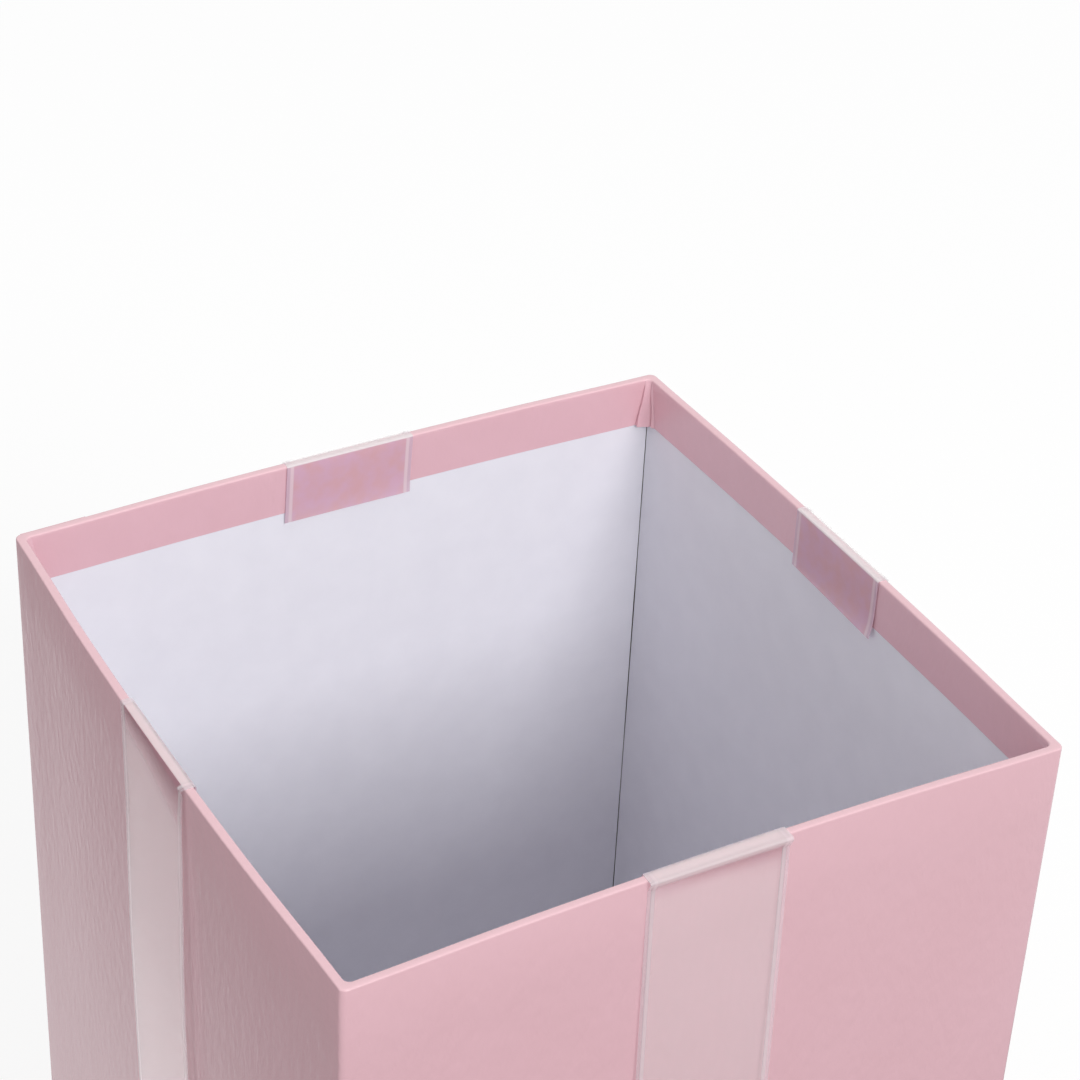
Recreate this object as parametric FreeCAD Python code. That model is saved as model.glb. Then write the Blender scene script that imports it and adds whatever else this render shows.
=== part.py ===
import FreeCAD, Part
import os
from math import atan2, copysign, cos, degrees, hypot, tan

# A tall square flower box. Mitred greyboard walls stand round a base board and are held by paper
# tape at the corners. One sheet of cover paper wraps the walls, is turned in over the rim and
# under the base, and white paper lines the inside. A ribbon rolls over the rim at the middle of
# each wall and is tucked under the sheet that closes the base.
# Millimetres, +Z up, origin at the centre of the face that the box stands on, front wall at -Y.

V = FreeCAD.Vector

# Outside of the cover paper, and resting face to the top of the rim
outer_width = 127.0
outer_depth = 127.0
overall_height = 180.0

# Thickness of each layer
board_thickness = 1.0
stay_thickness = 0.12
liner_thickness = 0.12
wrap_thickness = 0.14
base_paper_thickness = 0.2

# Boards and the tape that holds them at the corners
board_corner_radius = 0.9
stay_leg = 14.0

# Cover paper: strips folded inside the rim and under the base, pleats in the inner corners
turn_in = 9.6
pleat_reach = 2.4
base_turn_in = 16.0
base_mitre_gap = 0.6
base_mitre_stop = 2.0
seam_lap = 12.0

# Lining paper stops a little short of each inner corner
liner_corner_gap = 0.12

# Sheet that closes the base
base_sheet_inset = 3.0
base_sheet_corner_radius = 2.0

# Ribbon: its tail inside the rim, its roll over the rim, its slack outside and its end under the base
ribbon_width = 25.0
ribbon_thickness = 0.2
ribbon_tail = 10.7
ribbon_roll_reach = 0.8
ribbon_roll_radius = 0.5
ribbon_roll_drop = 2.0
ribbon_tuck_radius = 2.5
ribbon_wall_gap = 0.1
ribbon_slack = 1.0
ribbon_slack_drop = 45.0
ribbon_slack_radius = 600.0
ribbon_base_tail = 12.0
ribbon_pocket_clearance = 0.1

# Glue pad under each ribbon tail
pad_width = 21.0
pad_height = 7.4
pad_drop = 1.3
pad_thickness = 0.1

# Distances in from the outside of the cover to each layer
stay_inset = wrap_thickness
board_inset = stay_inset + stay_thickness
liner_inset = board_inset + board_thickness
turn_in_inset = liner_inset + liner_thickness
rim_thickness = turn_in_inset + wrap_thickness

# Heights of each layer
base_sheet_thickness = base_paper_thickness + ribbon_pocket_clearance + ribbon_thickness
wrap_bottom = base_sheet_thickness
board_bottom = wrap_bottom + wrap_thickness
base_top = board_bottom + board_thickness
board_top = overall_height - wrap_thickness
turn_in_bottom = overall_height - turn_in

# Corner radii that keep every layer concentric with the boards
stay_corner_radius = board_corner_radius + stay_thickness
wrap_corner_radius = stay_corner_radius + wrap_thickness

# Room that a cutting shape reaches past the face that it cuts
past = 1.0

wall_names = ("front", "right", "back", "left")
corner_names = ("front_left", "front_right", "back_right", "back_left")


def wall_place(name):
    """A wall's turn from the front, its length and the box's size across it."""
    turn = 90 * wall_names.index(name)
    if name in ("front", "back"):
        return turn, outer_width, outer_depth
    return turn, outer_depth, outer_width


def corner_signs(name):
    """The sides of the X and Y axes that a corner lies on."""
    return (-1 if name.endswith("left") else 1), (-1 if name.startswith("front") else 1)


def turned(shape, turn):
    """A shape made at the front wall, turned about Z to another wall."""
    shape.rotate(V(0, 0, 0), V(0, 0, 1), turn)
    return shape


def upright_block(width, depth, bottom, top, radius=0.0):
    """A block centred on Z, with its upright edges rounded if it has a radius."""
    block = Part.makeBox(width, depth, top - bottom, V(-width / 2, -depth / 2, bottom))
    if not radius:
        return block
    upright = [edge for edge in block.Edges if abs(edge.tangentAt(edge.FirstParameter).z) > 0.5]
    return block.makeFillet(radius, upright)


def inset_block(inset, bottom, top, radius=0.0):
    """An upright block whose sides lie inset from the outside of the cover."""
    return upright_block(outer_width - 2 * inset, outer_depth - 2 * inset, bottom, top, radius)


def wall_box(half_length, across, near, far, bottom, top):
    """A box at the middle of the front wall, from near to far inside the wall's outside."""
    start = V(-half_length, near - across / 2, bottom)
    return Part.makeBox(2 * half_length, far - near, top - bottom, start)


def wall_panel(length, across, inset, thickness, bottom, top, corner_gap=0.0):
    """A panel of the front wall with mitred ends, its outer face inset from the outside."""
    outer_half = length / 2 - inset - corner_gap
    inner_half = outer_half - thickness
    outer_y = inset - across / 2
    inner_y = outer_y + thickness
    outline = [(-outer_half, outer_y), (outer_half, outer_y), (inner_half, inner_y), (-inner_half, inner_y)]
    loop = Part.makePolygon([V(x, y, bottom) for x, y in outline + outline[:1]])
    return Part.Face(loop).extrude(V(0, 0, top - bottom))


def wall_board(length, across):
    """A greyboard wall, its mitred ends rounded to the corner."""
    panel = wall_panel(length, across, board_inset, board_thickness, board_bottom, board_top)
    width = length - 2 * board_inset
    depth = across - 2 * board_inset
    return panel.common(upright_block(width, depth, board_bottom, board_top, board_corner_radius))


def wall_liner(length, across):
    """A panel of lining paper, from the base board to the rim."""
    return wall_panel(length, across, liner_inset, liner_thickness, base_top, board_top, liner_corner_gap)


def corner_stay(x_sign, y_sign):
    """Paper tape folded round one upright corner of the boards."""
    ring = inset_block(stay_inset, board_bottom, board_top, stay_corner_radius)
    ring = ring.cut(inset_block(board_inset, board_bottom - past, board_top + past, board_corner_radius))
    corner = V(x_sign * outer_width / 2, y_sign * outer_depth / 2, 0)
    reach = stay_inset + stay_leg
    middle = corner - V(x_sign * reach / 2, y_sign * reach / 2, 0)
    corner_zone = Part.makeBox(reach, reach, overall_height, middle - V(reach / 2, reach / 2, 0))
    return ring.common(corner_zone)


def corner_pleat(x_sign, y_sign):
    """The folded wedge of spare paper in an inner corner of the turn-in."""
    inset = turn_in_inset + wrap_thickness / 2
    corner = V(x_sign * (outer_width / 2 - inset), y_sign * (outer_depth / 2 - inset), 0)
    peak = corner + V(0, 0, board_top)
    foot = corner + V(0, 0, turn_in_bottom)
    along_x = foot - V(x_sign * pleat_reach, 0, 0)
    along_y = foot - V(0, y_sign * pleat_reach, 0)
    points = [peak, foot, along_x, along_y]
    triangles = [points[:i] + points[i + 1:] for i in range(len(points))]
    faces = [Part.Face(Part.makePolygon(triangle + triangle[:1])) for triangle in triangles]
    wedge = Part.Solid(Part.Shell(faces))
    if wedge.Volume < 0:
        wedge.reverse()
    return wedge


def base_mitre(x_sign, y_sign):
    """The slit between two flaps of the cover under the base, along the diagonal of a corner."""
    flap = base_turn_in - base_mitre_stop
    length = hypot(flap, flap)
    slit = Part.makeBox(length + past, base_mitre_gap, wrap_thickness + 2 * past)
    slit.translate(V(-past, -base_mitre_gap / 2, wrap_bottom - past))
    turned(slit, degrees(atan2(y_sign, x_sign)))
    start_x = x_sign * (outer_width / 2 - base_turn_in)
    start_y = y_sign * (outer_depth / 2 - base_turn_in)
    slit.translate(V(start_x, start_y, 0))
    return slit


def cover_wrap():
    """The cover paper: outside, rim, strip inside the rim, flaps under the base and lapped seam."""
    wrap = inset_block(0, wrap_bottom, overall_height, wrap_corner_radius)
    wrap = wrap.cut(inset_block(wrap_thickness, board_bottom, board_top, stay_corner_radius))
    wrap = wrap.cut(inset_block(rim_thickness, board_top - past, overall_height + past))
    wrap = wrap.cut(inset_block(base_turn_in, wrap_bottom - past, board_bottom + past))
    strip = inset_block(turn_in_inset, turn_in_bottom, board_top)
    strip = strip.cut(inset_block(rim_thickness, turn_in_bottom - past, board_top + past))
    wrap = wrap.fuse(strip).removeSplitter()
    wrap = wrap.makeFillet(wrap_thickness, folded_edges(wrap))
    wrap = wrap.cut([base_mitre(*corner_signs(name)) for name in corner_names])
    turn, length, across = wall_place("back")
    lap_half = seam_lap / 2
    lap = wall_box(lap_half, across, -wrap_thickness, 0, board_bottom, board_top)
    lap.translate(V(length / 2 - wrap_corner_radius - lap_half, 0, 0))
    pleats = [corner_pleat(*corner_signs(name)) for name in corner_names]
    return wrap.fuse(pleats + [turned(lap, turn)]).removeSplitter()


def folded_edges(wrap):
    """Edges where the cover folds round the rim and round the foot of the walls."""
    rim = [edge for edge in wrap.Edges if lies_at(edge, overall_height)]
    foot = [edge for edge in wrap.Edges if lies_at(edge, wrap_bottom) and not inside_base(edge)]
    return rim + foot


def lies_at(edge, height):
    """Whether a whole edge lies at one height."""
    return max(abs(edge.BoundBox.ZMin - height), abs(edge.BoundBox.ZMax - height)) < wrap_thickness / 10


def inside_base(edge):
    """Whether an edge belongs to the opening between the flaps under the base."""
    middle = edge.CenterOfMass
    near_side = abs(middle.x) > outer_width / 2 - base_turn_in / 2
    near_front = abs(middle.y) > outer_depth / 2 - base_turn_in / 2
    return not (near_side or near_front)


def shifted_path(points, radii, shift):
    """A bent path moved sideways, with the radius at each bend that keeps it concentric."""
    across = V(1, 0, 0)
    runs = [(after - before).normalize() for before, after in zip(points, points[1:])]
    moved = []
    for point, radius, arrive, leave in zip(points, radii, runs[:1] + runs, runs + runs[-1:]):
        side = across.cross(arrive)
        next_side = across.cross(leave)
        corner = point + (side + next_side) * (shift / (1 + side.dot(next_side)))
        moved.append((corner, radius - copysign(shift, shift * side.dot(leave))))
    return moved


def bent_edges(path):
    """Straight runs joined by tangent arcs through a path of points and radii."""
    edges = []
    start = path[0][0]
    for (before, _), (corner, radius), (after, _) in zip(path, path[1:], path[2:]):
        arrive = (corner - before).normalize()
        leave = (after - corner).normalize()
        half_turn = arrive.getAngle(leave) / 2
        bend_start = corner - arrive * (radius * tan(half_turn))
        bend_end = corner + leave * (radius * tan(half_turn))
        crown = corner + (leave - arrive).normalize() * (radius / cos(half_turn) - radius)
        edges.append(Part.LineSegment(start, bend_start).toShape())
        edges.append(Part.Arc(bend_start, crown, bend_end).toShape())
        start = bend_end
    edges.append(Part.LineSegment(start, path[-1][0]).toShape())
    return edges


def ribbon(across):
    """A ribbon from its tail inside the rim, over the rim and down the wall to under the base."""
    half = ribbon_thickness / 2
    inside = -(rim_thickness + pad_thickness + half)
    on_rim = overall_height + half
    on_wall = ribbon_wall_gap + half
    under = wrap_bottom - half
    fold_radius = wrap_thickness + half
    route = [
        (inside, overall_height - ribbon_tail, 0),
        (inside, on_rim, fold_radius),
        (ribbon_roll_reach, on_rim, ribbon_roll_radius),
        (on_wall, overall_height - ribbon_roll_drop, ribbon_tuck_radius),
        (ribbon_slack, overall_height - ribbon_slack_drop, ribbon_slack_radius),
        (on_wall, under, fold_radius),
        (-(base_sheet_inset + ribbon_base_tail), under, 0),
    ]
    points = [V(-ribbon_width / 2, -across / 2 - outward, height) for outward, height, _ in route]
    radii = [radius for _, _, radius in route]
    one_side = shifted_path(points, radii, half)
    other_side = shifted_path(points, radii, -half)
    ends = [Part.LineSegment(one_side[i][0], other_side[i][0]).toShape() for i in (0, -1)]
    outline = Part.__sortEdges__(bent_edges(one_side) + bent_edges(other_side) + ends)
    return Part.Face(Part.Wire(outline)).extrude(V(ribbon_width, 0, 0))


def ribbon_pad(across):
    """Double-sided tape between a ribbon's tail and the paper folded inside the rim."""
    top = overall_height - pad_drop
    bottom = top - pad_height
    return wall_box(pad_width / 2, across, rim_thickness, rim_thickness + pad_thickness, bottom, top)


def base_sheet():
    """The sheet that closes the base, with a pocket pressed in it over each ribbon's end."""
    sheet = inset_block(base_sheet_inset, 0, base_sheet_thickness, base_sheet_corner_radius)
    half_length = ribbon_width / 2 + ribbon_pocket_clearance
    near = base_sheet_inset - past
    far = base_sheet_inset + ribbon_base_tail + ribbon_pocket_clearance
    top = base_sheet_thickness + past
    for name in wall_names:
        turn, _, across = wall_place(name)
        pocket = wall_box(half_length, across, near, far, base_paper_thickness, top)
        sheet = sheet.cut(turned(pocket, turn))
    return sheet


pieces = {
    "base_board": inset_block(liner_inset, board_bottom, base_top),
    "base_liner": inset_block(turn_in_inset + liner_corner_gap, base_top, base_top + liner_thickness),
    "base_sheet": base_sheet(),
    "cover_wrap": cover_wrap(),
}
for wall in wall_names:
    turn, length, across = wall_place(wall)
    pieces[wall + "_board"] = turned(wall_board(length, across), turn)
    pieces[wall + "_liner"] = turned(wall_liner(length, across), turn)
    pieces[wall + "_ribbon"] = turned(ribbon(across), turn)
    pieces[wall + "_ribbon_pad"] = turned(ribbon_pad(across), turn)
for corner in corner_names:
    pieces[corner + "_stay"] = corner_stay(*corner_signs(corner))

os.makedirs("parts", exist_ok=True)
for name, shape in pieces.items():
    shape.Solids[0].exportStep("parts/" + name + ".step")
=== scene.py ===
import math

import bmesh
import bpy
from mathutils import Matrix, Vector


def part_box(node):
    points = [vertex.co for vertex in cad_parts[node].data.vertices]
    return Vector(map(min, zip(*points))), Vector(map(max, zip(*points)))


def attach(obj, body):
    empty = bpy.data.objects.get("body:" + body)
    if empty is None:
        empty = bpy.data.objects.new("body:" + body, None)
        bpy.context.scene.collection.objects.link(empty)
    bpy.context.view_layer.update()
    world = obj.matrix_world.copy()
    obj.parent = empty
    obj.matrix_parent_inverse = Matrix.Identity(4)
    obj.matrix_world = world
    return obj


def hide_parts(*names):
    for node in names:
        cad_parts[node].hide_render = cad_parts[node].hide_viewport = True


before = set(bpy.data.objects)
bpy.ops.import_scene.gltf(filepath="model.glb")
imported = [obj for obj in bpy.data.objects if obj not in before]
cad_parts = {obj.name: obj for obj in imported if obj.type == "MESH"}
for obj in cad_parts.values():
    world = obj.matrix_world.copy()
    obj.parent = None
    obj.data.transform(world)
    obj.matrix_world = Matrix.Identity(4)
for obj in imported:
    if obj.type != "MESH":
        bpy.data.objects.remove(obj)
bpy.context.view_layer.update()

# Wall boards
# Four panels of grey recycled board, cut on a mitre and stood round the base. They make the box stiff.
# They bowed a little as the glue dried, and every layer that is glued to them follows that bow.
MM = 0.001
walls = ("front", "right", "back", "left")
bow_at_rim = {"front": -1.55 * MM, "right": 1.0 * MM, "back": 1.3 * MM, "left": 1.6 * MM}
bow_cuts = 12
board_lo, board_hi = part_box("front_board")
board_corner_radius = 0.9 * MM
board_corner_cuts = (math.radians(22.5), math.radians(45))
wrap_lo, wrap_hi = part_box("cover_wrap")
half_width = wrap_hi.x
rim_height = wrap_hi.z


def hex_colour(text):
    """An sRGB hex colour as linear red, green, blue and alpha."""
    shares = [int(text[i:i + 2], 16) / 255 for i in (1, 3, 5)]
    return [c / 12.92 if c <= 0.04045 else ((c + 0.055) / 1.055) ** 2.4 for c in shares] + [1]


def add_node(tree, kind, inputs=None, **settings):
    """Add a shader node. An input is a value for that socket, or another node's output to link to it."""
    node = tree.nodes.new(kind)
    for name, value in settings.items():
        setattr(node, name, value)
    for name, value in (inputs or {}).items():
        if isinstance(value, bpy.types.NodeSocket):
            tree.links.new(value, node.inputs[name])
        else:
            node.inputs[name].default_value = value
    return node


def new_finish(name):
    """An empty material with its node tree and the Object coordinates of the piece."""
    finish = bpy.data.materials.new(name)
    finish.use_nodes = True
    tree = finish.node_tree
    tree.nodes.clear()
    return finish, tree, add_node(tree, "ShaderNodeTexCoord").outputs["Object"]


def start_block(name, lo, hi):
    """A cube primitive that fills the space between two corners, open for editing with nothing selected."""
    bpy.ops.object.select_all(action="DESELECT")
    bpy.ops.mesh.primitive_cube_add(size=1, location=(lo + hi) / 2)
    piece = bpy.context.object
    piece.name = piece.data.name = name
    piece.scale = hi - lo
    bpy.ops.object.transform_apply(location=True, rotation=True, scale=True)
    bpy.ops.object.mode_set(mode="EDIT")
    bpy.ops.mesh.select_all(action="DESELECT")
    return piece


def select(kind, test):
    """In edit mode, select only the vertices, edges or faces that pass a test."""
    mesh = bmesh.from_edit_mesh(bpy.context.edit_object.data)
    bpy.ops.mesh.select_mode(type=kind)
    bpy.ops.mesh.select_all(action="DESELECT")
    for item in {"VERT": mesh.verts, "EDGE": mesh.edges, "FACE": mesh.faces}[kind]:
        if test(item):
            item.select_set(True)
    mesh.select_flush_mode()
    bmesh.update_edit_mesh(bpy.context.edit_object.data)


def runs_along(edge, axis, shortest):
    """True if an edge lies along an axis and is longer than a length."""
    run = edge.verts[1].co - edge.verts[0].co
    return abs(run[axis]) > shortest and abs(run[axis]) > 0.999 * run.length


def end_edit(smooth_angle):
    """Leave edit mode, with edges sharper than an angle in degrees left crisp."""
    bpy.ops.object.mode_set(mode="OBJECT")
    bpy.ops.object.shade_smooth_by_angle(angle=math.radians(smooth_angle))


def modify(piece, kind, **settings):
    """Add a modifier to a piece and apply it. The piece is then the only one selected."""
    bpy.ops.object.select_all(action="DESELECT")
    piece.select_set(True)
    bpy.context.view_layer.objects.active = piece
    modifier = piece.modifiers.new(kind.title(), kind)
    for name, value in settings.items():
        setattr(modifier, name, value)
    bpy.ops.object.modifier_apply(modifier=modifier.name)


def quarter_turns(first, names):
    """The first piece and its copies a quarter turn apart round the box, each with its own mesh."""
    pieces = [first]
    for turn, name in enumerate(names[1:], start=1):
        piece = first.copy()
        piece.data = first.data.copy()
        piece.name = piece.data.name = name
        piece.data.transform(Matrix.Rotation(turn * math.pi / 2, 4, "Z"))
        bpy.context.collection.objects.link(piece)
        pieces.append(piece)
    return pieces


def dress(piece, finish):
    """Give a piece one finish all over."""
    piece.data.materials.clear()
    piece.data.materials.append(finish)


def fit(piece, node, finish):
    """Let a piece stand for a node of the frame, with its finish."""
    dress(piece, finish)
    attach(piece, "root")
    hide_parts(node)


# A lattice round the whole box carries the bow: the middles of its upper sides move out or in. Its points
# run from -0.5 to 0.5 each way, whatever its size.
bpy.ops.object.select_all(action="DESELECT")
bpy.ops.object.add(type="LATTICE", location=(0, 0, rim_height / 2))
bow_cage = bpy.context.object
bow_cage.name = "bow_cage"
bow_cage.scale = (2 * half_width, 2 * half_width, rim_height)
bow_cage.data.points_u = bow_cage.data.points_v = 5
bow_cage.data.points_w = 2
bow_cage.data.interpolation_type_u = bow_cage.data.interpolation_type_v = "KEY_CATMULL_ROM"
bow_cage.data.interpolation_type_w = "KEY_LINEAR"
for point in bow_cage.data.points:
    x, y, z = point.co
    for wall, side, along, axis, outward in (("front", -y, x, 1, -1), ("right", x, y, 0, 1),
                                             ("back", y, x, 1, 1), ("left", -x, y, 0, -1)):
        if z > 0 and side > 0.49:
            from_middle = along / 0.5
            point.co_deform[axis] += outward * bow_at_rim[wall] * (1 - from_middle ** 2) / (2 * half_width)

# Grey recycled board: short mixed fibres, dull and speckled. Single fibres are too fine to show, so the noise
# is as coarse as their clumps.
greyboard, tree, place = new_finish("grey_recycled_board")
fibre_size = 0.8 * MM
fleck_size = 2.5 * MM
fibres = add_node(tree, "ShaderNodeTexNoise", {"Vector": place, "Scale": 1 / fibre_size, "Detail": 6})
flecks = add_node(tree, "ShaderNodeTexNoise", {"Vector": place, "Scale": 1 / fleck_size, "Detail": 2})
grey = add_node(tree, "ShaderNodeMix", {0: fibres.outputs["Fac"], 6: hex_colour("#7d766d"),
                                        7: hex_colour("#b0a89d")}, data_type="RGBA")
speckled = add_node(tree, "ShaderNodeMix", {0: flecks.outputs["Fac"], 6: grey.outputs[2],
                                            7: hex_colour("#958c80")}, data_type="RGBA")
rough_fibres = add_node(tree, "ShaderNodeBump", {"Height": fibres.outputs["Fac"], "Strength": 0.5,
                                                 "Distance": 0.06 * MM})
shader = add_node(tree, "ShaderNodeBsdfPrincipled", {"Base Color": speckled.outputs[2], "Roughness": 0.95,
                                                     "Normal": rough_fibres.outputs[0]})
add_node(tree, "ShaderNodeOutputMaterial", {"Surface": shader.outputs[0]})

board = start_block("front_greyboard", board_lo, board_hi)
corner_centre = Vector((board_hi.x - board_corner_radius, board_lo.y + board_corner_radius, 0))
for end in (1, -1):
    bpy.ops.mesh.select_all(action="SELECT")
    bpy.ops.mesh.bisect(plane_co=(end * board_hi.x, board_lo.y, 0), plane_no=(end, 1, 0),
                        use_fill=True, clear_outer=True)
    for angle in board_corner_cuts:
        facing = Vector((end * math.sin(angle), -math.cos(angle), 0))
        touch = Vector((end * corner_centre.x, corner_centre.y, 0)) + facing * board_corner_radius
        bpy.ops.mesh.select_all(action="SELECT")
        bpy.ops.mesh.bisect(plane_co=touch, plane_no=facing, use_fill=True, clear_outer=True)
select("EDGE", lambda edge: runs_along(edge, 0, half_width))
bpy.ops.mesh.subdivide(number_cuts=bow_cuts)
end_edit(30)
for wall, piece in zip(walls, quarter_turns(board, [f"{wall}_greyboard" for wall in walls])):
    modify(piece, "LATTICE", object=bow_cage)
    fit(piece, f"{wall}_board", greyboard)

# Corner stays
# Strips of gummed kraft paper tape, folded round the four upright corners over the boards.
# They hold the walls together until the cover goes on.
corners = ("front_right", "back_right", "back_left", "front_left")
stay_lo, stay_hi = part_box("front_right_stay")
stay_thickness = 0.12 * MM
stay_radius = board_corner_radius + stay_thickness
bend_steps = 6


def strip(name, first_edge, path):
    """A strip that one edge sweeps out, as it is extruded from point to point of a path."""
    start, end = Vector(first_edge[0]), Vector(first_edge[1])
    bpy.ops.object.select_all(action="DESELECT")
    bpy.ops.mesh.primitive_plane_add(size=1)
    piece = bpy.context.object
    piece.name = piece.data.name = name
    lead = Vector(path[1]) - Vector(path[0])
    for vertex, corner in zip(piece.data.vertices, (start, end, start + lead, end + lead)):
        vertex.co = corner
    bpy.ops.object.mode_set(mode="EDIT")
    ahead = {tuple(round(c, 7) for c in corner) for corner in (start + lead, end + lead)}
    select("VERT", lambda vertex: tuple(round(c, 7) for c in vertex.co) in ahead)
    bpy.ops.mesh.select_mode(type="EDGE")
    for here, there in zip(path[1:], path[2:]):
        step = Vector(there) - Vector(here)
        bpy.ops.mesh.extrude_edges_move(TRANSFORM_OT_translate={"value": step})
    bpy.ops.mesh.select_all(action="SELECT")
    return piece


# Gummed kraft tape: brown, long-fibred, a little shiny from the gum.
kraft, tree, place = new_finish("gummed_kraft_tape")
streaks = add_node(tree, "ShaderNodeMapping", {"Vector": place, "Scale": (1, 1, 0.2)})
fibres = add_node(tree, "ShaderNodeTexNoise", {"Vector": streaks.outputs[0], "Scale": 1 / fibre_size,
                                               "Detail": 5})
brown = add_node(tree, "ShaderNodeMix", {0: fibres.outputs["Fac"], 6: hex_colour("#b08a5c"),
                                         7: hex_colour("#d3b083")}, data_type="RGBA")
shader = add_node(tree, "ShaderNodeBsdfPrincipled", {"Base Color": brown.outputs[2], "Roughness": 0.7})
add_node(tree, "ShaderNodeOutputMaterial", {"Surface": shader.outputs[0]})

bend = Vector((stay_hi.x - stay_radius, stay_lo.y + stay_radius, stay_lo.z))
stay_path = [Vector((stay_lo.x, stay_lo.y, stay_lo.z))]
for step in range(bend_steps + 1):
    angle = math.pi / 2 * step / bend_steps
    stay_path.append(bend + stay_radius * Vector((math.sin(angle), -math.cos(angle), 0)))
stay_path.append(Vector((stay_hi.x, stay_hi.y, stay_lo.z)))
upright = Vector((0, 0, stay_hi.z - stay_lo.z))
stay = strip("front_right_tape", (stay_path[0] + upright, stay_path[0]), stay_path)
end_edit(40)
modify(stay, "SOLIDIFY", thickness=stay_thickness, offset=-1)
bpy.ops.object.shade_smooth_by_angle(angle=math.radians(40))
for corner, piece in zip(corners, quarter_turns(stay, [f"{corner}_tape" for corner in corners])):
    modify(piece, "LATTICE", object=bow_cage)
    fit(piece, f"{corner}_stay", kraft)

# Base board
# A panel of the same grey board, glued between the feet of the walls. It keeps the box square, and the
# lining above it and the base sheet below it hide it.
dress(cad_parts["base_board"], greyboard)

# Lining paper
# White uncoated paper, one sheet on the inside of each wall and one on the base, pasted on the board.
# The wall sheets stop just short of each other in the corners, and their edges lift a little there.
lining_lo, lining_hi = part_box("front_liner")
lining_cut_back = 0.2 * MM
lining_lift = 0.08 * MM
lining_lift_reach = 0.9 * MM
lining_lift_cuts = (0.35, 0.7, 1)
lining_wave = 11 * MM
lining_ripple = 4.3 * MM
lining_rows = 40

# Uncoated white paper with a cool tint: matt, a little cloudy, fine-grained, with a few dust specks. The real
# grain is too fine to show, so it is drawn several times as coarse.
lining_paper, tree, place = new_finish("uncoated_white_paper")
cloud_size = 7 * MM
grain_size = 0.5 * MM
speck_spacing = 16 * MM
speck_radius = 0.2 * MM
clouds = add_node(tree, "ShaderNodeTexNoise", {"Vector": place, "Scale": 1 / cloud_size, "Detail": 4})
grain = add_node(tree, "ShaderNodeTexNoise", {"Vector": place, "Scale": 1 / grain_size, "Detail": 3})
specks = add_node(tree, "ShaderNodeTexVoronoi", {"Vector": place, "Scale": 1 / speck_spacing})
speck_mask = add_node(tree, "ShaderNodeMath", {0: specks.outputs["Distance"],
                                               1: speck_radius / speck_spacing}, operation="LESS_THAN")
white = add_node(tree, "ShaderNodeMix", {0: clouds.outputs["Fac"], 6: hex_colour("#e8e7ef"),
                                         7: hex_colour("#f1f0f7")}, data_type="RGBA")
specked = add_node(tree, "ShaderNodeMix", {0: speck_mask.outputs[0], 6: white.outputs[2],
                                           7: hex_colour("#c6c4cc")}, data_type="RGBA")
fine_bump = add_node(tree, "ShaderNodeBump", {"Height": grain.outputs["Fac"], "Strength": 0.35,
                                              "Distance": 0.03 * MM})
shader = add_node(tree, "ShaderNodeBsdfPrincipled", {"Base Color": specked.outputs[2], "Roughness": 0.75,
                                                     "Normal": fine_bump.outputs[0]})
add_node(tree, "ShaderNodeOutputMaterial", {"Surface": shader.outputs[0]})

cut_back = Vector((lining_cut_back, 0, 0))
lining = start_block("front_lining", lining_lo + cut_back, lining_hi - cut_back)
select("EDGE", lambda edge: runs_along(edge, 0, half_width))
bpy.ops.mesh.subdivide(number_cuts=bow_cuts)
edge_at = lining_hi.x - lining_cut_back
for end in (1, -1):
    for share in lining_lift_cuts:
        bpy.ops.mesh.select_all(action="SELECT")
        bpy.ops.mesh.bisect(plane_co=(end * (edge_at - share * lining_lift_reach), 0, 0), plane_no=(1, 0, 0))
select("EDGE", lambda edge: runs_along(edge, 2, rim_height / 2))
bpy.ops.mesh.subdivide(number_cuts=lining_rows)
end_edit(40)
for vertex in lining.data.vertices:
    near_edge = max(0, 1 - (edge_at - abs(vertex.co.x)) / lining_lift_reach)
    drift = 0.3 * math.sin(vertex.co.z / lining_wave) + 0.18 * math.sin(vertex.co.z / lining_ripple)
    vertex.co.y += lining_lift * near_edge ** 2 * (1 + drift)
for wall, piece in zip(walls, quarter_turns(lining, [f"{wall}_lining" for wall in walls])):
    modify(piece, "LATTICE", object=bow_cage)
    fit(piece, f"{wall}_liner", lining_paper)
dress(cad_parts["base_liner"], lining_paper)

# Cover
# One sheet of pink satin art paper, wrapped round the four walls and lapped on the back wall.
# It is turned in over the rim, with a pleat in each inner corner, and turned under the base.
cover_thickness = 0.14 * MM
cover_corner_radius = 1.16 * MM
turn_in = 9.6 * MM
rim_edge_radius = 0.32 * MM
base_turn_in = 16 * MM
base_mitre_stop = 4 * MM
seam_lap = 12 * MM
seam_end_gap = 0.14 * MM
pleat_rows = 8
# Outline of a pleat at its foot: how far each crease lies out of the corner, along one wall and the other.
# One broad facet spans the corner, and a deep crease and a small wrinkle part it from the side wall.
pleat_creases = ((2.6 * MM, 0.0), (2.72 * MM, 0.8 * MM), (2.2 * MM, 1.0 * MM), (1.75 * MM, 1.18 * MM),
                 (1.3 * MM, 1.36 * MM), (0.85 * MM, 1.6 * MM), (0.15 * MM, 1.75 * MM), (0.5 * MM, 2.2 * MM),
                 (0.0, 2.6 * MM))
pleat_spread_at_rim = 0.35
# Depth down the turned-in paper, from 0 at the rim to 1 at its edge, where creases start and are full.
pleat_start = 0.04
pleat_full = 0.15
pleat_waver = 0.06 * MM
pleat_waver_rate = 8
pleat_waver_lag = 1.7
corner_columns = len(pleat_creases) - 1
# Places closer together than this count as one.
hair = 0.01 * MM
rim_inside = -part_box("front_ribbon_pad")[0].y
cover_lo = Vector((-half_width, -half_width, wrap_lo.z))
cover_hi = Vector((half_width, half_width, rim_height))

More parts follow.
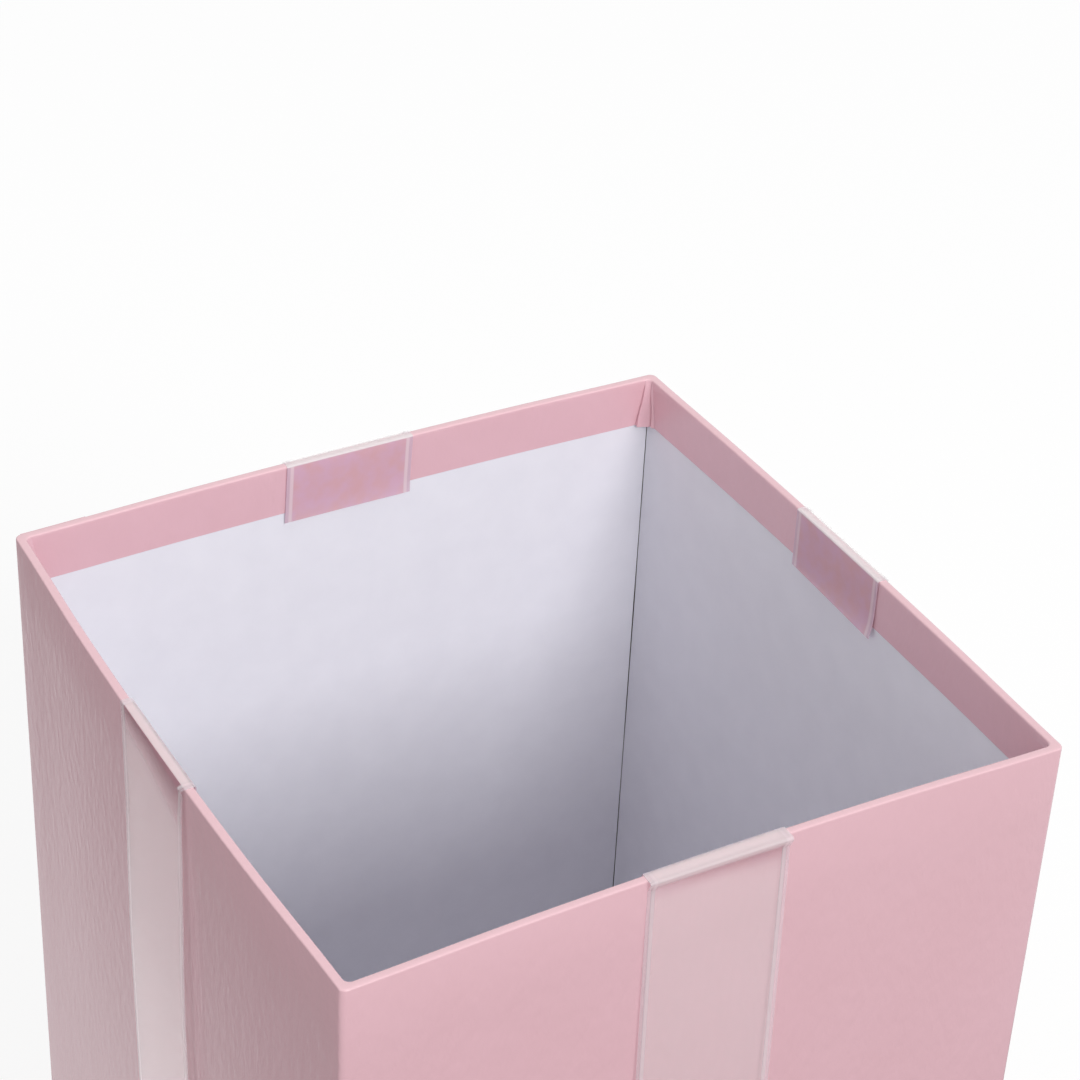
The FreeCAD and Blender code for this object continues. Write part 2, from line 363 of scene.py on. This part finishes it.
# Satin art paper, printed pink and varnished: smooth, with a soft sheen and a faint orange peel. The print is
# stretched over the rim and a little worn there, and the top of the rim is painted paler, partly for that
# wear and partly as a painted highlight of the light from above. The paper's grain is too fine to show, so it
# is drawn several times as coarse.
cover_paper, tree, place = new_finish("pink_satin_art_paper")
peel_size = 1.5 * MM
cover_grain_size = 0.35 * MM
print_cloud_size = 14 * MM
rim_pale_reach = 0.45 * MM
upright_peel = add_node(tree, "ShaderNodeMapping", {"Vector": place, "Scale": (1, 1, 0.45)})
peel = add_node(tree, "ShaderNodeTexNoise", {"Vector": upright_peel.outputs[0], "Scale": 1 / peel_size,
                                             "Detail": 2})
cover_grain = add_node(tree, "ShaderNodeTexNoise", {"Vector": place, "Scale": 1 / cover_grain_size})
print_clouds = add_node(tree, "ShaderNodeTexNoise", {"Vector": place, "Scale": 1 / print_cloud_size,
                                                     "Detail": 3})
pink = add_node(tree, "ShaderNodeMix", {0: print_clouds.outputs["Fac"], 6: hex_colour("#e3b6bf"),
                                        7: hex_colour("#e8bcc6")}, data_type="RGBA")
apart = add_node(tree, "ShaderNodeSeparateXYZ", {0: place})
# The top of the rim is painted paler: worn print, and a painted highlight of the light from above.
rim_wear_and_highlight = add_node(tree, "ShaderNodeMapRange", {"Value": apart.outputs[2], "From Max": rim_height,
                                                 "From Min": rim_height - rim_pale_reach})
worn_and_highlit_pink = add_node(tree, "ShaderNodeMix", {0: rim_wear_and_highlight.outputs[0], 6: pink.outputs[2],
                                             7: hex_colour("#e8c1c8")}, data_type="RGBA")
peel_bump = add_node(tree, "ShaderNodeBump", {"Height": peel.outputs["Fac"], "Strength": 1,
                                              "Distance": 0.11 * MM})
grain_bump = add_node(tree, "ShaderNodeBump", {"Height": cover_grain.outputs["Fac"], "Strength": 0.3,
                                               "Distance": 0.01 * MM, "Normal": peel_bump.outputs[0]})
shader = add_node(tree, "ShaderNodeBsdfPrincipled", {"Base Color": worn_and_highlit_pink.outputs[2], "Roughness": 0.27,
                                                     "Normal": grain_bump.outputs[0]})
add_node(tree, "ShaderNodeOutputMaterial", {"Surface": shader.outputs[0]})


def on_level(item, height):
    """True if every vertex of an edge or face is at a height."""
    return all(abs(vertex.co.z - height) < hair for vertex in item.verts)


def drop(edge):
    """How far apart in height the two ends of an edge are."""
    return abs(edge.verts[0].co.z - edge.verts[1].co.z)


cover = start_block("cover_paper_wrap", cover_lo, cover_hi)
select("FACE", lambda face: abs(face.normal.z) > 0.9)
bpy.ops.mesh.delete(type="ONLY_FACE")
select("EDGE", lambda edge: runs_along(edge, 2, rim_height / 2))
bpy.ops.mesh.bevel(offset=cover_corner_radius, segments=corner_columns, affect="EDGES")
select("EDGE", lambda edge: on_level(edge, rim_height))
bpy.ops.mesh.extrude_edges_move(TRANSFORM_OT_translate={"value": (0, 0, 0)})
inward = rim_inside / half_width
bpy.ops.transform.resize(value=(inward, inward, 1), center_override=(0, 0, rim_height))
bpy.ops.mesh.extrude_edges_move(TRANSFORM_OT_translate={"value": (0, 0, -turn_in)})
select("EDGE", lambda edge: on_level(edge, cover_lo.z))
under = half_width
for reach in (base_mitre_stop, base_turn_in):
    bpy.ops.mesh.extrude_edges_move(TRANSFORM_OT_translate={"value": (0, 0, 0)})
    inward = (half_width - reach) / under
    bpy.ops.transform.resize(value=(inward, inward, 1), center_override=(0, 0, cover_lo.z))
    under = half_width - reach


def in_corner(face):
    """True for a narrow face in one of the four corners."""
    centre = face.calc_center_median()
    return min(abs(centre.x), abs(centre.y)) > 0.95 * max(abs(centre.x), abs(centre.y))


# The flaps under the base are mitred: their corners are cut away, from the middle out to this distance.
mitre_reach = math.sqrt(2) * (half_width - base_mitre_stop)
select("FACE", lambda face: on_level(face, cover_lo.z) and in_corner(face)
       and face.calc_center_median().xy.length < mitre_reach)
bpy.ops.mesh.delete(type="FACE")
select("EDGE", lambda edge: runs_along(edge, 0, half_width) or runs_along(edge, 1, half_width))
bpy.ops.mesh.subdivide(number_cuts=2 * bow_cuts - 1)
select("EDGE", lambda edge: drop(edge) > rim_height / 2)
bpy.ops.mesh.subdivide(number_cuts=bow_cuts)
select("EDGE", lambda edge: max(v.co.z for v in edge.verts) > rim_height - hair
       and abs(drop(edge) - turn_in) < hair)
bpy.ops.mesh.subdivide(number_cuts=pleat_rows)


def on_rim_edge(edge):
    """True for an edge between the rim's top and one of its two sides."""
    return on_level(edge, rim_height) and len({round(f.normal.z) for f in edge.link_faces}) == 2


select("EDGE", on_rim_edge)
bpy.ops.mesh.bevel(offset=rim_edge_radius, segments=4, affect="EDGES")
end_edit(35)

inner_radius = cover_corner_radius * rim_inside / half_width
arc_centre = rim_inside - inner_radius
for vertex in cover.data.vertices:
    x, y, z = vertex.co
    depth = (rim_height - z) / turn_in
    arc = Vector((abs(x), abs(y)))
    on_arc = min(arc) > arc_centre - hair and max(arc) < rim_inside + hair
    if on_arc and pleat_start < depth < 1 + hair / turn_in:
        turn = math.atan2(arc.x - arc_centre, arc.y - arc_centre) / (math.pi / 2)
        column = round(turn * corner_columns)
        out_x, out_y = pleat_creases[column]
        spread = pleat_spread_at_rim + (1 - pleat_spread_at_rim) * depth
        phase = pleat_waver_rate * depth + pleat_waver_lag * column
        waver = pleat_waver * math.sin(phase) if 0 < column < corner_columns else 0
        crease = Vector((rim_inside - out_x * spread - waver, rim_inside - out_y * spread + waver))
        fold_highlight = arc.lerp(crease, min(1, depth / pleat_full))
        vertex.co.x, vertex.co.y = math.copysign(fold_highlight.x, x), math.copysign(fold_highlight.y, y)

modify(cover, "SOLIDIFY", thickness=cover_thickness, offset=-1)
bpy.ops.object.shade_smooth_by_angle(angle=math.radians(35))
lap_start = half_width - cover_corner_radius
start_block("cover_seam_lap", Vector((-lap_start, half_width, cover_lo.z + seam_end_gap)),
            Vector((seam_lap - lap_start, half_width + cover_thickness, rim_height - seam_end_gap)))
select("EDGE", lambda edge: runs_along(edge, 0, seam_lap / 2) or runs_along(edge, 2, rim_height / 2))
bpy.ops.mesh.subdivide(number_cuts=3)
end_edit(30)
cover.select_set(True)
bpy.context.view_layer.objects.active = cover
bpy.ops.object.join()
modify(cover, "LATTICE", object=bow_cage)
fit(cover, "cover_wrap", cover_paper)

# Glue pads
# Short pieces of double-sided tape, pressed on the turned-in cover at the middle of each wall.
# They hold the ribbon tails inside the rim, and the tails hide them.
pad_lo, pad_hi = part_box("front_ribbon_pad")

# Double-sided tape: a clear film with blotchy glue, through which the pink paper shows a little darker.
glue, tree, place = new_finish("double_sided_tape")
blotch_size = 3 * MM
blotches = add_node(tree, "ShaderNodeTexNoise", {"Vector": place, "Scale": 1 / blotch_size, "Detail": 3})
glued_pink = add_node(tree, "ShaderNodeMix", {0: blotches.outputs["Fac"], 6: hex_colour("#dcabb6"),
                                              7: hex_colour("#e2b3be")}, data_type="RGBA")
shader = add_node(tree, "ShaderNodeBsdfPrincipled", {"Base Color": glued_pink.outputs[2], "Roughness": 0.3})
add_node(tree, "ShaderNodeOutputMaterial", {"Surface": shader.outputs[0]})

pad = start_block("front_tape_pad", pad_lo, pad_hi)
select("EDGE", lambda edge: runs_along(edge, 0, pad_hi.x))
bpy.ops.mesh.subdivide(number_cuts=bow_cuts)
end_edit(30)
for wall, piece in zip(walls, quarter_turns(pad, [f"{wall}_tape_pad" for wall in walls])):
    modify(piece, "LATTICE", object=bow_cage)
    fit(piece, f"{wall}_ribbon_pad", glue)

# Ribbons
# Sheer woven organza with firm selvedges, one down the middle of each wall. Each is glued inside the rim,
# rolled over it, hangs down the outside with a little slack and is glued under the base.
ribbon_lo, ribbon_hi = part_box("front_ribbon")
ribbon_width = ribbon_hi.x - ribbon_lo.x
ribbon_thickness = 0.16 * MM
ribbon_columns = 24
# They were glued on by hand, so each lies in its own way. First the tail inside the rim: its length, and how
# far its loose end lifts off and leans to one side.
ribbon_tail = {"front": 10.7 * MM, "right": 11.5 * MM, "back": 11.6 * MM, "left": 10.7 * MM}
ribbon_tail_lift = {"front": 0.1 * MM, "right": 0.7 * MM, "back": 0.2 * MM, "left": 0.1 * MM}
ribbon_tail_lean = {"front": 0.0, "right": -0.2 * MM, "back": 0.6 * MM, "left": 0.0}
# Then the roll over the rim: how far it stands out and reaches down, and the gap left under it.
ribbon_roll = {"front": 1.3 * MM, "right": 0.35 * MM, "back": 0.35 * MM, "left": 0.35 * MM}
ribbon_roll_drop = {"front": 2.1 * MM, "right": 1.2 * MM, "back": 1.2 * MM, "left": 1.0 * MM}
ribbon_tuck = {"front": 0.25 * MM, "right": 0.2 * MM, "back": 0.2 * MM, "left": 0.2 * MM}
# Then the slack down the wall, and how much more the right edge stands out than the middle.
ribbon_slack = {"front": 1.0 * MM, "right": 0.5 * MM, "back": 0.5 * MM, "left": 1.1 * MM}
ribbon_twist = {"front": 0.15 * MM, "right": 0.0, "back": 0.0, "left": 0.5 * MM}
# Last the fold over the rim: its length and how strong its painted highlight is, and how far below it a
# painted shadow of the roll reaches at the left and right edge.
ribbon_crease = {"front": 4.0 * MM, "right": 1.2 * MM, "back": 0.9 * MM, "left": 1.7 * MM}
ribbon_fold_highlight = {"front": 0.31, "right": 1, "back": 1, "left": 0.25}
ribbon_painted_shade = {"front": (1.5 * MM, 5 * MM), "right": (0, 0), "back": (0, 0), "left": (5 * MM, 10 * MM)}
# In the rest all four are alike: the roundness of their bends, the place of the slack, their ends, and how
# far from where they are held the tail comes loose and the twist grows.
ribbon_bend = 0.24 * MM
roll_bend = 0.4 * MM
slack_bend = 600 * MM
slack_below_rim = 45 * MM
foot_slack = 0.2 * MM
foot_height = 5 * MM
end_under_base = 15 * MM
tail_gap = 0.05 * MM
loose_tail_reach = 5 * MM
fold_start = -0.15 * MM
twist_grows_out = 0.3 * MM
twist_grows_up = 60 * MM
least_gap = 0.1 * MM
long_step = 2.5 * MM
arc_step = math.radians(18)


def ribbon_route(wall):
    """Distance out from the cover's face, height and bend radius at each bend of a ribbon's middle."""
    inside = -(half_width + pad_hi.y + ribbon_thickness / 2 + tail_gap)
    on_rim = rim_height + ribbon_thickness / 2
    under = wrap_lo.z - ribbon_thickness / 2
    roll = ribbon_roll[wall]
    return ((inside, rim_height - ribbon_tail[wall], 0),
            (inside, on_rim, ribbon_bend),
            (roll, on_rim, min(roll_bend, roll)),
            (ribbon_tuck[wall], rim_height - ribbon_roll_drop[wall], roll_bend),
            (ribbon_slack[wall], rim_height - slack_below_rim, slack_bend),
            (foot_slack, under, ribbon_bend),
            (-end_under_base, under, 0))


def rounded_path(route):
    """Points along a route of straight runs, with an arc of the given radius in each bend."""
    corners = [Vector((0, -half_width - out, height)) for out, height, _ in route]
    path = corners[:1]
    for before, corner, after, (_, _, radius) in zip(corners, corners[1:], corners[2:], route[1:]):
        back, ahead = (before - corner).normalized(), (after - corner).normalized()
        turn = math.pi - back.angle(ahead)
        reach = radius * math.tan(turn / 2)
        centre = corner + (back + ahead).normalized() * radius / math.cos(turn / 2)
        first, last = corner + back * reach - centre, corner + ahead * reach - centre
        steps = max(2, math.ceil(turn / arc_step))
        path += [centre + first.slerp(last, step / steps).normalized() * radius for step in range(steps + 1)]
    path.append(corners[-1])
    spaced = path[:1]
    for there in path[1:]:
        run = there - spaced[-1]
        parts = max(1, math.ceil(run.length / long_step))
        spaced += [there - run * (1 - part / parts) for part in range(1, parts + 1)]
    return spaced


# Organza: fine twisted threads in an open plain weave. Most of the wall shows through, the threads catch
# the light, the selvedges are closer and whiter, the fold over the rim is denser and painted whiter as a
# highlight, the glued tail is denser and mauve, and just below the roll outside the cloth is painted dark as
# a shadow.
# The real threads are about 0.15 mm apart, too fine to show, so they are drawn twice as coarse.
organza, tree, _ = new_finish("sheer_woven_organza")
thread_spacing = 0.32 * MM
# At scale 1, the bands of a wave texture lie this far apart.
wave_repeat = 0.314
selvedge_width = 1.3 * MM
selvedge_cord_at = 0.65 * MM
selvedge_blur = 0.1 * MM
cord_firmness = 0.4
blotch_size = 3.5 * MM
run = add_node(tree, "ShaderNodeUVMap", uv_map="ribbon_run")
apart = add_node(tree, "ShaderNodeSeparateXYZ", {0: run.outputs[0]})
from_middle = add_node(tree, "ShaderNodeMath", {0: apart.outputs[0]}, operation="ABSOLUTE")
from_edge = add_node(tree, "ShaderNodeMath", {0: ribbon_width / 2, 1: from_middle.outputs[0]},
                     operation="SUBTRACT")
selvedge = add_node(tree, "ShaderNodeMapRange", {"Value": from_edge.outputs[0],
                                                 "From Min": selvedge_width + selvedge_blur,
                                                 "From Max": selvedge_width - selvedge_blur})
cord = add_node(tree, "ShaderNodeMapRange", {"Value": from_edge.outputs[0],
                                             "From Min": selvedge_cord_at - selvedge_blur,
                                             "From Max": selvedge_cord_at + selvedge_blur,
                                             "To Max": cord_firmness})
white_cord = add_node(tree, "ShaderNodeMath", {0: selvedge.outputs[0], 1: cord.outputs[0]},
                      operation="MULTIPLY")
# The second UV map holds the fold's painted highlight, and the glue of the tail over 0 and a painted shadow
# below the roll outside under 0.
fold_and_shade_uv = add_node(tree, "ShaderNodeUVMap", uv_map="ribbon_fold")
fold_glue_and_shade = add_node(tree, "ShaderNodeSeparateXYZ", {0: fold_and_shade_uv.outputs[0]})
tail = add_node(tree, "ShaderNodeMath", {0: fold_glue_and_shade.outputs[1], 1: 0}, operation="MAXIMUM")
painted_shade = add_node(tree, "ShaderNodeMath", {0: fold_glue_and_shade.outputs[1], 1: -1}, operation="MULTIPLY",
                  use_clamp=True)
glued_and_shaded = add_node(tree, "ShaderNodeMath", {0: fold_glue_and_shade.outputs[1]}, operation="ABSOLUTE")
# The selvedge cord, or the fold with its painted highlight, whichever is stronger.
cord_and_fold_highlight = add_node(tree, "ShaderNodeMath", {0: white_cord.outputs[0], 1: fold_glue_and_shade.outputs[0]},
                operation="MAXIMUM")
warp = add_node(tree, "ShaderNodeTexWave", {"Vector": run.outputs[0], "Scale": wave_repeat / thread_spacing},
                wave_type="BANDS", bands_direction="X")
weft = add_node(tree, "ShaderNodeTexWave", {"Vector": run.outputs[0], "Scale": wave_repeat / thread_spacing},
                wave_type="BANDS", bands_direction="Y")
weave = add_node(tree, "ShaderNodeMath", {0: warp.outputs["Fac"], 1: weft.outputs["Fac"]}, operation="ADD")
# How much of the cloth is thread: least in its open middle, more where the shadow below the roll is painted,
# most in the fold with its painted highlight and in the glued tail.
body_share = add_node(tree, "ShaderNodeMapRange", {"Value": weave.outputs[0], "From Min": 0, "From Max": 2,
                                                   "To Min": 0.175, "To Max": 0.195})
shaded_share = add_node(tree, "ShaderNodeMix", {0: painted_shade.outputs[0], 2: body_share.outputs[0], 3: 0.25})
edge_share = add_node(tree, "ShaderNodeMix", {0: selvedge.outputs[0], 2: shaded_share.outputs[0], 3: 0.22})
cord_and_highlight_share = add_node(tree, "ShaderNodeMix", {0: cord_and_fold_highlight.outputs[0], 2: edge_share.outputs[0], 3: 0.6})
thread_share = add_node(tree, "ShaderNodeMix", {0: tail.outputs[0], 2: cord_and_highlight_share.outputs[0], 3: 0.6})
# The colours of the glued tail, which is blotchy, of the dark painted shadow below the roll, and of the dry
# cloth, painted whiter on the fold as a highlight.
blotches = add_node(tree, "ShaderNodeTexNoise", {"Vector": run.outputs[0], "Scale": 1 / blotch_size,
                                                 "Detail": 2})
tail_blotches = add_node(tree, "ShaderNodeMapRange", {"Value": blotches.outputs["Fac"], "From Min": 0.35,
                                                      "From Max": 0.65})
tail_middle = add_node(tree, "ShaderNodeMix", {0: tail_blotches.outputs[0], 6: hex_colour("#efc0c8"),
                                               7: hex_colour("#eec4da")}, data_type="RGBA")
tail_edge = add_node(tree, "ShaderNodeMix", {0: selvedge.outputs[0], 6: tail_middle.outputs[2],
                                             7: hex_colour("#e6c8d8")}, data_type="RGBA")
tail_cord = add_node(tree, "ShaderNodeMapRange", {"Value": white_cord.outputs[0], "From Max": cord_firmness})
tail_colour = add_node(tree, "ShaderNodeMix", {0: tail_cord.outputs[0], 6: tail_edge.outputs[2],
                                               7: hex_colour("#fae2ea")}, data_type="RGBA")
# Below the roll outside, the cloth is painted dark mauve: a painted shadow of the roll.
tail_and_shade_colour = add_node(tree, "ShaderNodeMix", {0: painted_shade.outputs[0], 6: tail_colour.outputs[2],
                                              7: hex_colour("#96606f")}, data_type="RGBA")
dry_colour = add_node(tree, "ShaderNodeMix", {0: selvedge.outputs[0], 6: hex_colour("#e4e5e5"),
                                              7: hex_colour("#dcd8dd")}, data_type="RGBA")
# The selvedge cord is whiter, and the fold over the rim is painted whiter as a highlight.
cord_and_highlight_colour = add_node(tree, "ShaderNodeMix", {0: cord_and_fold_highlight.outputs[0], 6: dry_colour.outputs[2],
                                                7: hex_colour("#f4f0f1")}, data_type="RGBA")
shade_middle = add_node(tree, "ShaderNodeMath", {0: painted_shade.outputs[0], 1: selvedge.outputs[0]},
                         operation="SUBTRACT", use_clamp=True)
tail_and_shade = add_node(tree, "ShaderNodeMath", {0: tail.outputs[0], 1: shade_middle.outputs[0]}, operation="MAXIMUM")
# The threads scatter light, the gaps let it through, and dry cloth has a weak gloss over both. Where the tail
# is glued and where the shadow below the roll is painted, the sheen and gloss fade out.
thread_bump = add_node(tree, "ShaderNodeBump", {"Height": weave.outputs[0], "Strength": 0.1,
                                                "Distance": 0.02 * MM})
front_light = add_node(tree, "ShaderNodeBsdfPrincipled", {"Base Color": cord_and_highlight_colour.outputs[2],
                                                          "Roughness": 0.4, "Sheen Weight": 1,
                                                          "Sheen Roughness": 0.3,
                                                          "Normal": thread_bump.outputs[0]})
through_light = add_node(tree, "ShaderNodeBsdfTranslucent", {"Color": cord_and_highlight_colour.outputs[2]})
dry_light = add_node(tree, "ShaderNodeMixShader", {0: 0.15, 1: front_light.outputs[0],
                                                   2: through_light.outputs[0]})
tail_and_shade_light = add_node(tree, "ShaderNodeBsdfPrincipled", {"Base Color": tail_and_shade_colour.outputs[2],
                                                        "Roughness": 0.5})
thread_light = add_node(tree, "ShaderNodeMixShader", {0: tail_and_shade.outputs[0], 1: dry_light.outputs[0],
                                                      2: tail_and_shade_light.outputs[0]})
gaps = add_node(tree, "ShaderNodeBsdfTransparent")
sheer = add_node(tree, "ShaderNodeMixShader", {0: thread_share.outputs[0], 1: gaps.outputs[0],
                                               2: thread_light.outputs[0]})
film = add_node(tree, "ShaderNodeBsdfPrincipled", {"Base Color": (0, 0, 0, 1), "Roughness": 0.4,
                                                   "Specular IOR Level": 0.35})
glossy = add_node(tree, "ShaderNodeAddShader", {0: sheer.outputs[0], 1: film.outputs[0]})
glossy_except_tail_and_shade = add_node(tree, "ShaderNodeMixShader", {0: glued_and_shaded.outputs[0], 1: glossy.outputs[0],
                                                       2: sheer.outputs[0]})
add_node(tree, "ShaderNodeOutputMaterial", {"Surface": glossy_except_tail_and_shade.outputs[0]})

across = Vector((ribbon_width / 2, 0, 0))
for turn, wall in enumerate(walls):
    path = rounded_path(ribbon_route(wall))
    ribbon = strip(f"{wall}_organza", (path[0] - across, path[0] + across), path)
    select("EDGE", lambda edge: runs_along(edge, 0, ribbon_width / 2))
    bpy.ops.mesh.subdivide(number_cuts=ribbon_columns - 1)
    end_edit(60)
    distance = {}
    travelled = 0
    for here, there in zip(path[:1] + path, path):
        travelled += (there - here).length
        distance[round(there.y, 6), round(there.z, 6)] = travelled - ribbon_tail[wall]
    run_map = ribbon.data.uv_layers.new(name="ribbon_run")
    fold_and_shade_map = ribbon.data.uv_layers.new(name="ribbon_fold")
    for loop in ribbon.data.loops:
        x, y, z = ribbon.data.vertices[loop.vertex_index].co
        past_rim = distance[round(y, 6), round(z, 6)]
        run_map.data[loop.index].uv = (x, past_rim)
        past_fold = past_rim - ribbon_crease[wall]
        shade_left, shade_right = ribbon_painted_shade[wall]
        shade_reach = shade_left + (shade_right - shade_left) * (0.5 + x / ribbon_width)
        # Inside the rim the tail is glued; on the fold the cloth gets its painted highlight, and below the
        # fold a painted shadow of the roll that fades down.
        if past_rim < fold_start:
            fold_highlight, tail_glue_and_shade = 0, 1
        elif past_fold < 0:
            fold_highlight, tail_glue_and_shade = ribbon_fold_highlight[wall], 0
        else:
            fold_highlight, tail_glue_and_shade = 0, min(0, past_fold / shade_reach - 1) if shade_reach else 0
        fold_and_shade_map.data[loop.index].uv = (fold_highlight, tail_glue_and_shade)
    for vertex in ribbon.data.vertices:
        out = -half_width - vertex.co.y
        height = vertex.co.z
        if out > 0 and height > foot_height:
            free = min(1, out / twist_grows_out) * min(1, height / twist_grows_up)
            twisted = out + ribbon_twist[wall] * free * vertex.co.x / (ribbon_width / 2)
            vertex.co.y = -half_width - max(min(out, least_gap), twisted)
        elif out < 0 and height > rim_height / 2:
            above_end = height - rim_height + ribbon_tail[wall]
            loose = max(0, 1 - above_end / loose_tail_reach) ** 2 * (0.5 - vertex.co.x / ribbon_width)
            vertex.co.y += ribbon_tail_lift[wall] * loose
            vertex.co.x += ribbon_tail_lean[wall] * (1 - above_end / ribbon_tail[wall])
    modify(ribbon, "SOLIDIFY", thickness=ribbon_thickness, offset=0)
    bpy.ops.object.shade_smooth_by_angle(angle=math.radians(40))
    ribbon.data.transform(Matrix.Rotation(turn * math.pi / 2, 4, "Z"))
    modify(ribbon, "LATTICE", object=bow_cage)
    fit(ribbon, f"{wall}_ribbon", organza)

# Base sheet
# A square of white paper with round corners, glued under the box. It hides the turned-in cover and the
# ribbon ends, and the box stands on it.

# Uncoated white paper, a shade duller than the lining: flat, matt and a little cloudy.
base_paper, tree, place = new_finish("white_base_paper")
clouds = add_node(tree, "ShaderNodeTexNoise", {"Vector": place, "Scale": 1 / cloud_size, "Detail": 4})
white = add_node(tree, "ShaderNodeMix", {0: clouds.outputs["Fac"], 6: hex_colour("#e2dfdf"),
                                         7: hex_colour("#eceaea")}, data_type="RGBA")
shader = add_node(tree, "ShaderNodeBsdfPrincipled", {"Base Color": white.outputs[2], "Roughness": 0.7})
add_node(tree, "ShaderNodeOutputMaterial", {"Surface": shader.outputs[0]})
dress(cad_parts["base_sheet"], base_paper)

bpy.data.objects.remove(bow_cage)

# Floor
# A wide sweep of white paper under the box, as in a photo studio. It is no part of the box, and it keeps the
# shadow of it.
floor_size = 30
floor_whiteness = 0.8
# Between these distances from the middle of the box, what the walls mirror of the floor grows bright.
left_pool_edge = (-135 * MM, -105 * MM)
front_pool_edge = (160 * MM, 300 * MM)
bpy.ops.object.select_all(action="DESELECT")
bpy.ops.mesh.primitive_plane_add(size=floor_size)
floor = bpy.context.object
floor.name = "floor"

# Matt white paper. To the camera it is near white, and it bounces less light than that. In reflections it is
# bright close to the left wall and further out in front, which gives the walls their sheen.
sweep, tree, place = new_finish("white_paper_sweep")
seen = add_node(tree, "ShaderNodeLightPath")
apart = add_node(tree, "ShaderNodeSeparateXYZ", {0: place})
left_pool = add_node(tree, "ShaderNodeMapRange", {"Value": apart.outputs[0], "From Min": left_pool_edge[0],
                                                  "From Max": left_pool_edge[1]})
from_box = add_node(tree, "ShaderNodeVectorMath", {0: place}, operation="LENGTH")
front_pool = add_node(tree, "ShaderNodeMapRange", {"Value": from_box.outputs["Value"],
                                                   "From Min": front_pool_edge[0],
                                                   "From Max": front_pool_edge[1]})
in_front = add_node(tree, "ShaderNodeMath", {0: apart.outputs[1], 1: 0}, operation="LESS_THAN")
pool = add_node(tree, "ShaderNodeMix", {0: in_front.outputs[0], 2: left_pool.outputs[0],
                                        3: front_pool.outputs[0]})
mirrored = add_node(tree, "ShaderNodeMath", {0: seen.outputs["Is Glossy Ray"], 1: pool.outputs[0]},
                    operation="MULTIPLY")
seen_through = add_node(tree, "ShaderNodeMath", {0: seen.outputs["Is Camera Ray"],
                                                 1: seen.outputs["Is Transmission Ray"]}, operation="MAXIMUM")
plain_white = add_node(tree, "ShaderNodeMath", {0: seen_through.outputs[0], 1: floor_whiteness},
                       operation="MULTIPLY")
whiteness = add_node(tree, "ShaderNodeMath", {0: plain_white.outputs[0], 1: mirrored.outputs[0]},
                     operation="MAXIMUM")
paper_colour = add_node(tree, "ShaderNodeMix", {0: seen.outputs["Is Camera Ray"], 6: hex_colour("#7a7a7a"),
                                                7: hex_colour("#ffffff")}, data_type="RGBA")
paper = add_node(tree, "ShaderNodeBsdfDiffuse", {"Color": paper_colour.outputs[2]})
glow = add_node(tree, "ShaderNodeEmission", {"Strength": 1})
lit_paper = add_node(tree, "ShaderNodeMixShader", {0: whiteness.outputs[0], 1: paper.outputs[0],
                                                   2: glow.outputs[0]})
add_node(tree, "ShaderNodeOutputMaterial", {"Surface": lit_paper.outputs[0]})
dress(floor, sweep)

# Light
# A large soft box in front of the box, a weaker one above it and a low reflector at its left, in a pale room.
# The room looks white to the camera and in reflections, and gives a weaker light all round.
world = bpy.data.worlds.new("pale_room")
world.use_nodes = True
bpy.context.scene.world = world
tree = world.node_tree
tree.nodes.clear()
seen = add_node(tree, "ShaderNodeLightPath")
room = add_node(tree, "ShaderNodeBackground", {"Color": (1, 1, 1, 1), "Strength": 0.6})
backdrop = add_node(tree, "ShaderNodeBackground", {"Color": (1, 1, 1, 1), "Strength": 1})
direct = add_node(tree, "ShaderNodeMath", {0: seen.outputs["Is Camera Ray"],
                                           1: seen.outputs["Is Glossy Ray"]}, operation="MAXIMUM")
plain = add_node(tree, "ShaderNodeMath", {0: direct.outputs[0], 1: seen.outputs["Is Transmission Ray"]},
                 operation="MAXIMUM")
sky = add_node(tree, "ShaderNodeMixShader", {0: plain.outputs[0], 1: room.outputs[0], 2: backdrop.outputs[0]})
add_node(tree, "ShaderNodeOutputWorld", {"Surface": sky.outputs[0]})


def soft_box(name, place, target, size, power):
    """A square area light that faces a point."""
    bpy.ops.object.light_add(type="AREA", location=place)
    lamp = bpy.context.object
    lamp.name = name
    lamp.data.size = size
    lamp.data.energy = power
    lamp.rotation_euler = (Vector(target) - Vector(place)).to_track_quat("-Z", "Y").to_euler()


soft_box("front_soft_box", place=(0.25, -3.4, 2.25), target=(0, 0, 0.15), size=1.4, power=89)
soft_box("top_soft_box", place=(0, 0, 4.15), target=(0, 0, 0.15), size=2.5, power=21)
soft_box("left_reflector", place=(-0.7, 0.05, 0.16), target=(0, 0.05, 0.12), size=0.3, power=0.55)

# Camera
# It looks down on the near corner with a long lens, a little turned, as in the photograph. It is placed from
# the middle of the rim, by direction, distance and shift.
view_azimuth = math.radians(-30.755)
view_elevation = math.radians(33.964)
view_roll = math.radians(2.93)
view_distance = 494.1 * MM
view_right = 3.28 * MM
view_up = 16.02 * MM
view_lens = 100.33
back = Vector((math.sin(view_azimuth) * math.cos(view_elevation),
               -math.cos(view_azimuth) * math.cos(view_elevation), math.sin(view_elevation)))
right = Vector((math.cos(view_azimuth), math.sin(view_azimuth), 0))
up = back.cross(right)
rolled_right = right * math.cos(view_roll) + up * math.sin(view_roll)
rolled_up = up * math.cos(view_roll) - right * math.sin(view_roll)
eye = Vector((0, 0, rim_height)) + back * view_distance + rolled_right * view_right + rolled_up * view_up
bpy.ops.object.camera_add()
camera = bpy.context.object
camera.data.lens = view_lens
camera.data.sensor_width = 36
camera.data.clip_start = 0.01
camera.matrix_world = Matrix((rolled_right, rolled_up, back)).transposed().to_4x4()
camera.location = eye
bpy.context.scene.camera = camera
bpy.context.scene.view_settings.view_transform = "Standard"
